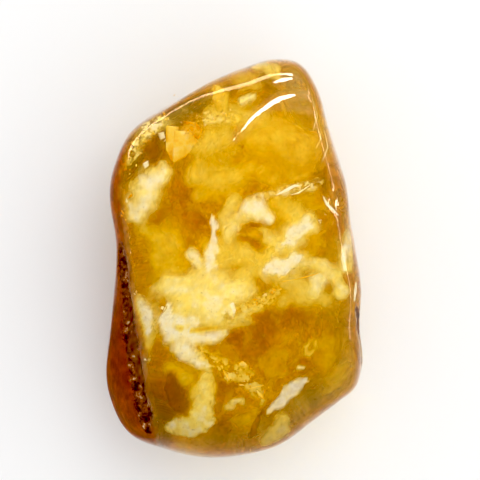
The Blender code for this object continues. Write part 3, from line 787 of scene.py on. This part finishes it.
# Flakes, shards and crumbs near the top. Tone runs from 0, white, over 0.5, yellow, to 1, brown.
flakes = {
    "along": 60,
    "around": 20,
    # flakes: places (x, y, half width) of a stroke, depth, half thickness and tone
    "list": [
        ([(17.7, -3.4, 0.12), (17.6, -4.8, 0.35), (17.4, -6.5, 0.12)], 0.9, 0.2, 0.05),
        ([(-15.0, -14.2, 0.2), (-14.6, -14.9, 0.5), (-14.7, -15.6, 0.2)], 1.0, 0.35, 0.1),
        ([(-13.9, -14.5, 0.2), (-13.3, -14.6, 0.45), (-12.7, -15.0, 0.2)], 1.0, 0.3, 0.1),
        # painted glints: white flakes that stand for the reflections off small cracks in the right half
        ([(12.9, 9.3, 0.05), (13.5, 8.0, 0.30), (14.6, 6.9, 0.22), (15.3, 6.2, 0.05)], 0.5, 0.12, 0.0),
        ([(14.9, 7.0, 0.05), (14.8, 8.0, 0.16), (15.1, 9.0, 0.05)], 0.5, 0.1, 0.0),
        ([(5.9, 9.2, 0.05), (7.6, 10.0, 0.30), (8.9, 10.7, 0.25), (9.8, 10.6, 0.05)], 0.6, 0.12, 0.0),
        ([(8.2, 9.3, 0.05), (9.4, 9.6, 0.14), (11.3, 10.9, 0.05)], 0.6, 0.1, 0.05),
        # thin curved cracks along the right wall
        ([(12.8, 14.2, 0.04), (13.6, 16.4, 0.08), (13.0, 19.0, 0.04)], 0.6, 0.08, 0.15),
        ([(11.4, 18.6, 0.04), (12.1, 21.0, 0.07), (11.2, 23.8, 0.04)], 0.6, 0.08, 0.25),
        ([(11.8, 16.0, 0.04), (12.5, 17.4, 0.06), (12.6, 18.8, 0.04)], 0.7, 0.08, 0.30),
        # golden cracks of the middle and below it
        ([(6.8, -3.4, 0.08), (9.4, -3.0, 0.10), (12.6, -2.1, 0.06)], 0.7, 0.08, 0.45),
        ([(1.8, -19.2, 0.05), (3.1, -18.9, 0.08), (4.4, -18.6, 0.05)], 0.7, 0.08, 0.4),
        ([(-1.7, -16.3, 0.1), (-1.2, -17.2, 0.3), (-0.7, -18.1, 0.1)], 1.0, 0.2, 0.45),
        ([(0.6, -15.7, 0.2), (1.2, -15.5, 0.5), (1.8, -15.7, 0.2)], 1.2, 0.3, 0.42),
        ([(3.2, -19.3, 0.1), (3.7, -20.0, 0.35), (4.3, -20.7, 0.1)], 1.0, 0.2, 0.38),
    ],
    # flat shards: corners in plan, depth, lean along x and y, and tone
    "shards": [
        ([(-10.1, 19.6), (-10.1, 15.9), (-9.1, 13.9), (-8.4, 16.6), (-8.2, 19.4)], 1.0, (0.25, 0.0), 0.43),
        ([(-8.9, 18.9), (-9.1, 13.8), (-7.1, 14.8), (-5.2, 17.1), (-6.3, 18.7)], 1.1, (-0.2, 0.12), 0.40),
        ([(-7.4, 20.2), (-7.0, 18.3), (-5.2, 17.4), (-4.6, 18.8), (-5.6, 20.0)], 1.3, (0.1, -0.2), 0.55),
        ([(-11.3, 18.4), (-10.9, 17.4), (-10.2, 17.7), (-10.4, 18.6)], 1.0, (0.1, 0.1), 0.05),
        ([(-13.5, 13.9), (-13.2, 13.1), (-12.6, 13.6), (-12.7, 14.4)], 0.8, (0.3, 0.0), 0.0),
        ([(-0.9, -6.4), (-0.9, -8.3), (-0.2, -8.9), (0.2, -7.6), (-0.1, -6.5)], 0.9, (0.3, 0.1), 0.06),
        ([(-2.8, 25.4), (-3.1, 23.4), (-1.8, 22.2), (-0.9, 23.2), (-1.6, 24.8)], 2.2, (-0.2, 0.1), 0.42),
    ],
    "shardThick": 0.18,
    "shardSides": 96,
    # crumbs strewn along bands: places (x, y, half width) of the band, how many, sizes, depths and tones
    "crumbs": [
        ([(-9.8, 20.4, 1.2), (-12.6, 17.6, 1.6), (-15.6, 13.4, 1.2)], 60, (0.12, 0.45), (0.9, 2.6),
         (0.1, 0.6)),
        ([(-4.6, 19.9, 0.5), (-2.4, 20.6, 0.8), (0.4, 20.8, 0.7)], 40, (0.10, 0.38), (0.7, 2.0),
         (0.1, 0.45)),
        ([(-2.5, 21.3, 0.5), (-0.6, 18.4, 1.0), (0.9, 16.4, 0.4)], 9, (0.10, 0.22), (0.6, 1.0),
         (0.98, 1.0)),
        # these two bands are painted glints: white crumbs that stand for the sparkle of small cracks
        ([(12.5, 7.3, 0.5), (13.2, 6.5, 0.5), (12.4, 5.0, 0.5)], 10, (0.10, 0.32), (0.4, 0.9), (0.0, 0.2)),
        ([(4.0, 8.6, 0.6), (8.0, 10.3, 0.8), (12.0, 11.2, 0.5)], 16, (0.08, 0.28), (0.4, 1.1), (0.0, 0.35)),
        ([(3.0, -6.5, 0.6), (6.8, -4.0, 0.7)], 26, (0.12, 0.42), (0.6, 1.6), (0.2, 0.6)),
        ([(-10.2, -6.8, 0.4), (-10.0, -8.8, 0.7)], 8, (0.15, 0.45), (0.8, 1.6), (0.0, 0.1)),
        ([(-3.0, -15.6, 1.2), (2.0, -17.4, 1.6), (3.6, -20.0, 1.0)], 34, (0.10, 0.40), (0.7, 2.2),
         (0.1, 0.6)),
        ([(-15.2, 12.0, 0.5), (-15.8, 5.0, 0.6), (-15.4, -2.0, 0.6), (-14.6, -8.0, 0.5)], 26, (0.12, 0.42),
         (0.5, 1.4), (0.0, 0.6)),
        ([(-14.4, -15.4, 0.6), (-13.2, -21.0, 0.7), (-12.2, -24.6, 0.5)], 26, (0.12, 0.45), (0.5, 1.5),
         (0.0, 0.8)),
        ([(-8.0, 24.0, 1.0), (6.0, 4.0, 12.0), (0.0, -22.0, 10.0)], 90, (0.06, 0.20), (0.8, 5.0),
         (0.0, 0.6)),
    ],
    "crumbSides": 16,
    "crumbSeed": 5,
    "crumbReach": (17.0, 27.5),            # half axes of the oval that they keep within
    "colours": [(0.0, (0.99, 0.96, 0.84, 1)), (0.2, (0.98, 0.90, 0.58, 1)), (0.45, (0.97, 0.74, 0.12, 1)),
                (0.65, (0.88, 0.45, 0.03, 1)), (0.9, (0.20, 0.05, 0.01, 1))],
    "glowShare": 0.35,
}


def lensGrid(stroke, depth, thick, seed, along, around):
    # A lens carried along a stroke: its section is an ellipse, as wide as the stroke with a ragged edge and
    # thick in its middle, and its two ends close to points. It lies at one depth below the stone's top.
    knots = np.linspace(0, 1, len(stroke))
    t = 0.5 - 0.5 * np.cos(np.linspace(0, math.pi, along + 2)[1:-1])
    x, y, wide = (np.interp(t, knots, [place[axis] for place in stroke]) for axis in range(3))
    for _ in range(3):                     # rounds the stroke's corners
        for line in (x, y, wide):
            line[1:-1] = (line[:-2] + 2 * line[1:-1] + line[2:]) / 4
    level = np.array([topHeight(a, b) for a, b in zip(x, y)]) - depth
    for _ in range(6):
        level[1:-1] = (level[:-2] + 2 * level[1:-1] + level[2:]) / 4
    close = np.sqrt(np.clip(1 - (2 * t - 1) ** 8, 0.0004, 1))
    direction = np.stack([np.gradient(x), np.gradient(y)], 1)
    direction /= np.linalg.norm(direction, axis=1, keepdims=True)
    side = np.stack([-direction[:, 1], direction[:, 0], np.zeros(along)], 1)
    turn = np.arange(around) / around * 2 * math.pi
    spine = np.stack([x, y, level], 1)
    edge = spine[:, None] + side[:, None] * (wide * close)[:, None, None] * np.cos(turn)[None, :, None]
    rough = clumps(edge.reshape(-1, 3) + seed, 1.7, 301, octaves=4, gain=0.5).reshape(along, around)
    width = (wide * close)[:, None] * (1 + 0.45 * rough)
    height = (thick * close)[:, None] * (1 + 0.3 * rough)
    grid = spine[:, None] + side[:, None] * (width * np.cos(turn))[..., None]
    grid[..., 2] += height * np.sin(turn)
    feather = np.abs(np.cos(turn))[None, :] + 0.45 * rough - 0.1
    solid = smoothStep(1.02, 0.6, feather) * smoothStep(0, 0.08, np.minimum(t, 1 - t))[:, None]
    return grid, solid, 0.20 * smoothStep(0.3, 0.9, feather) + 0.10 * rough


def plateGrid(centre, reach, depth, thick, lean):
    # A thin plate with a polygon's outline: reach is its outline's distance from the centre for each of the
    # directions around. Rings run from the middle of its top over its edge to the middle of its underside.
    turn = np.arange(len(reach)) / len(reach) * 2 * math.pi
    along = np.linspace(0, math.pi, 10)[1:-1]
    away = np.sin(along)[:, None] ** 0.6 * reach[None]
    x, y = away * np.cos(turn), away * np.sin(turn)
    level = topHeight(*centre) - depth + x * lean[0] + y * lean[1] + thick * np.cos(along)[:, None]
    grid = np.stack([centre[0] + x, centre[1] + y, level], -1)
    shade = 0.12 * (away / reach.max()) + 0.10 * np.sin(3 * turn)[None] * away / reach
    return grid, np.full(x.shape, 0.92), shade


def polygonReach(corners, count):
    # Distance from the corners' mean to the polygon's edge, in count directions
    centre = corners.mean(0)
    turn = np.arange(count) / count * 2 * math.pi
    ways = np.stack([np.cos(turn), np.sin(turn)], 1)
    reach = np.full(count, np.inf)
    for p, q in zip(corners - centre, np.roll(corners, -1, axis=0) - centre):
        side = q - p
        across = ways[:, 0] * side[1] - ways[:, 1] * side[0]
        out = (p[0] * side[1] - p[1] * side[0]) / np.where(np.abs(across) < 1e-9, 1e-9, across)
        reach = np.where((out > 0) & (out < reach), out, reach)
    return centre, reach


def crumbPlates():
    # Small broken plates strewn along the bands, more of them small, each with a depth and a tone of its own
    random = np.random.default_rng(flakes["crumbSeed"])
    reachX, reachY = flakes["crumbReach"]
    plates = []
    for band, count, sizes, depths, tones in flakes["crumbs"]:
        band = np.array(band)
        for _ in range(count):
            t = random.uniform(0, len(band) - 1)
            i = min(int(t), len(band) - 2)
            x, y, wide = band[i] + (band[i + 1] - band[i]) * (t - i)
            x, y = x + random.normal() * wide * 0.55, y + random.normal() * wide * 0.55
            low, high = sizes
            size = low + (high - low) * random.uniform() ** 2.5
            turns = np.sort(random.uniform(0, 2 * math.pi, 6)) + np.arange(6) * 0.01
            heading, longer = random.uniform(0, math.pi), random.uniform(1, 2.2)
            spread = size * random.uniform(0.6, 1.1, 6)
            across = np.stack([np.cos(turns) * longer, np.sin(turns) / longer ** 0.5], 1) * spread[:, None]
            cos, sin = math.cos(heading), math.sin(heading)
            corners = across @ np.array([[cos, sin], [-sin, cos]]) + (x, y)
            depth, tone = random.uniform(*depths), random.uniform(*tones)
            lean = random.uniform(-0.5, 0.5, 2)
            if np.hypot(x / reachX, y / reachY) < 1.05:
                plates.append((corners, depth, lean, tone, size * 0.25))
    return plates


def flakeMaterial():
    # Tone from the pieces, with grain, and solid but for the flakes' feathered edges
    paint = Paint(bpy.data.materials.new("pale_flake"))
    grain = paint.noise(0.7, detail=4, roughness=0.6)
    tone = paint.value("tone") + 0.36 * (0.5 - grain)
    colour = paint.ramp(flakes["colours"], tone)
    lit = paint.surface(Base_Color=colour, Roughness=0.5, Specular_IOR_Level=0.1)
    return paint.sealed(paint.value("solid"), lit, colour, flakes["glowShare"])


print("flakes and crumbs")
flakePaint = flakeMaterial()


def addFlakes(name, shapes, tones):
    # One piece of many small closed shapes, each of its own tone
    grids, solids, shades = zip(*shapes)
    piece = closedMesh(name, grids, {"solid": solids, "tone": [a + b for a, b in zip(shades, tones)]})
    piece.data.materials.append(flakePaint)
    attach(piece, "root")


# pale flakes, with the painted glints of small cracks among them
addFlakes("pale_flakes_and_painted_glints", [
    lensGrid(stroke, depth, thick, 3.1 * number, flakes["along"], flakes["around"])
    for number, (stroke, depth, thick, _) in enumerate(flakes["list"])], [row[3] for row in flakes["list"]])
shards = [(*plate, flakes["shardThick"]) for plate in flakes["shards"]]
# the crumbs include the painted glints of small cracks in the right half
for name, plates, sides in (("amber_shards", shards, flakes["shardSides"]),
                            ("pale_crumbs_and_painted_glints", crumbPlates(), flakes["crumbSides"])):
    shapes = []
    for corners, depth, lean, _, thick in plates:
        centre, reach = polygonReach(np.array(corners), sides)
        reach = np.clip(reach, 0.02, 3 * np.median(reach))
        shapes.append(plateGrid(centre, reach, depth, thick, lean))
    addFlakes(name, shapes, [plate[3] for plate in plates])


# The floor, the light and the camera
studio = {
    "frame": 480,                          # pixels across the picture
    "pixelsPerMm": 6.647,
    "viewCentre": (0.81, 2.72),
    "viewHeight": 9.0,                     # the height, in millimetres, at which that scale holds
    "lens": 300.0,
    "floorHalf": 3,                        # metres
    "floorColour": (0.86, 0.86, 0.86, 1),
    "sideLight": 2.3,
    "overheadLight": 1.25,
    "brightHeading": 15.0,
    "skyHeights": (0.12, 0.88),            # where the side light turns into the overhead light
    "sides": (0.50, 1.00),                 # share of the light from the dim side and from the bright side
    "sidesMeet": (-0.8, 0.6),
    # the key light, which is mirrored nowhere, and strips that are only mirrored in the polish and draw its
    # streaks: heading, tilt from overhead, length, width, glow
    "key": (60, 25, 0.30, 0.30, 2.7),
    "strips": [(114, 54, 0.60, 0.080, 28), (18, 74, 0.40, 0.030, 26)],
    "lampAway": 0.5,
    "black": (0.03, 0.03, 0.03),
    "bounces": {"max_bounces": 10, "transmission_bounces": 8, "transparent_max_bounces": 16,
                "diffuse_bounces": 3, "glossy_bounces": 3},
}

print("floor, light and camera")
floorMesh = bpy.data.meshes.new("floor")
half = studio["floorHalf"]
floorMesh.from_pydata([(-half, -half, 0), (half, -half, 0), (half, half, 0), (-half, half, 0)], [],
                      [(0, 1, 2, 3)])
floor = bpy.data.objects.new("floor", floorMesh)
bpy.context.scene.collection.objects.link(floor)
floorPaint = Paint(bpy.data.materials.new("pale_floor"))
floor.data.materials.append(floorPaint.output(floorPaint.surface(
    Base_Color=studio["floorColour"], Roughness=0.7, Specular_IOR_Level=0.1)))

world = bpy.data.worlds.new("soft_studio")
bpy.context.scene.world = world
sky = Paint(world)
way = sky.put("ShaderNodeTexCoord", {}, {}, "Generated")
x, y, z = (sky.put("ShaderNodeSeparateXYZ", {}, {0: way}, axis) for axis in "XYZ")
height = sky.step(z, *studio["skyHeights"], studio["sideLight"], studio["overheadLight"])
heading = math.radians(studio["brightHeading"])
across = x * math.cos(heading) + y * math.sin(heading)
window = sky.step(across, *studio["sidesMeet"], *studio["sides"])
background = sky.put("ShaderNodeBackground", {}, {"Strength": height * window}, "Background")
sky.put("ShaderNodeOutputWorld", {}, {"Surface": background})

for number, (heading, tilt, length, width, glow) in enumerate([studio["key"]] + studio["strips"]):
    name = f"strip_{number}" if number else "key"
    light = bpy.data.lights.new(name, "AREA")
    light.shape, light.size, light.size_y = "RECTANGLE", length, width
    light.energy = glow * math.pi * length * width
    lamp = bpy.data.objects.new(name, light)
    light.use_shadow = number > 0             # the key reaches the clouds through the polished skin
    lamp.visible_glossy = number > 0
    lamp.visible_diffuse = number == 0
    lamp.visible_transmission = False
    a, b = math.radians(heading), math.radians(tilt)
    lamp.location = [studio["lampAway"] * x for x in (
        math.cos(a) * math.sin(b), math.sin(a) * math.sin(b), math.cos(b))]
    lamp.rotation_euler = (0, b, a)       # faces the stone, its length level
    lamp.rotation_euler.rotate_axis("Z", math.pi / 2)
    bpy.context.scene.collection.objects.link(lamp)

camera = bpy.data.objects.new("camera", bpy.data.cameras.new("camera"))
camera.data.lens = studio["lens"]
reach = studio["frame"] / studio["pixelsPerMm"] * studio["lens"] / camera.data.sensor_width
x, y = studio["viewCentre"]
camera.location = (x * mm, y * mm, (studio["viewHeight"] + reach) * mm)
camera.data.clip_start, camera.data.clip_end = 0.01, 10
bpy.context.scene.collection.objects.link(camera)
bpy.context.scene.camera = camera

scene = bpy.context.scene
scene.view_settings.view_transform = "Standard"
scene.view_settings.use_curve_mapping = True
scene.view_settings.curve_mapping.black_level = studio["black"]
scene.view_settings.curve_mapping.update()
for key, count in studio["bounces"].items():
    setattr(scene.cycles, key, count)
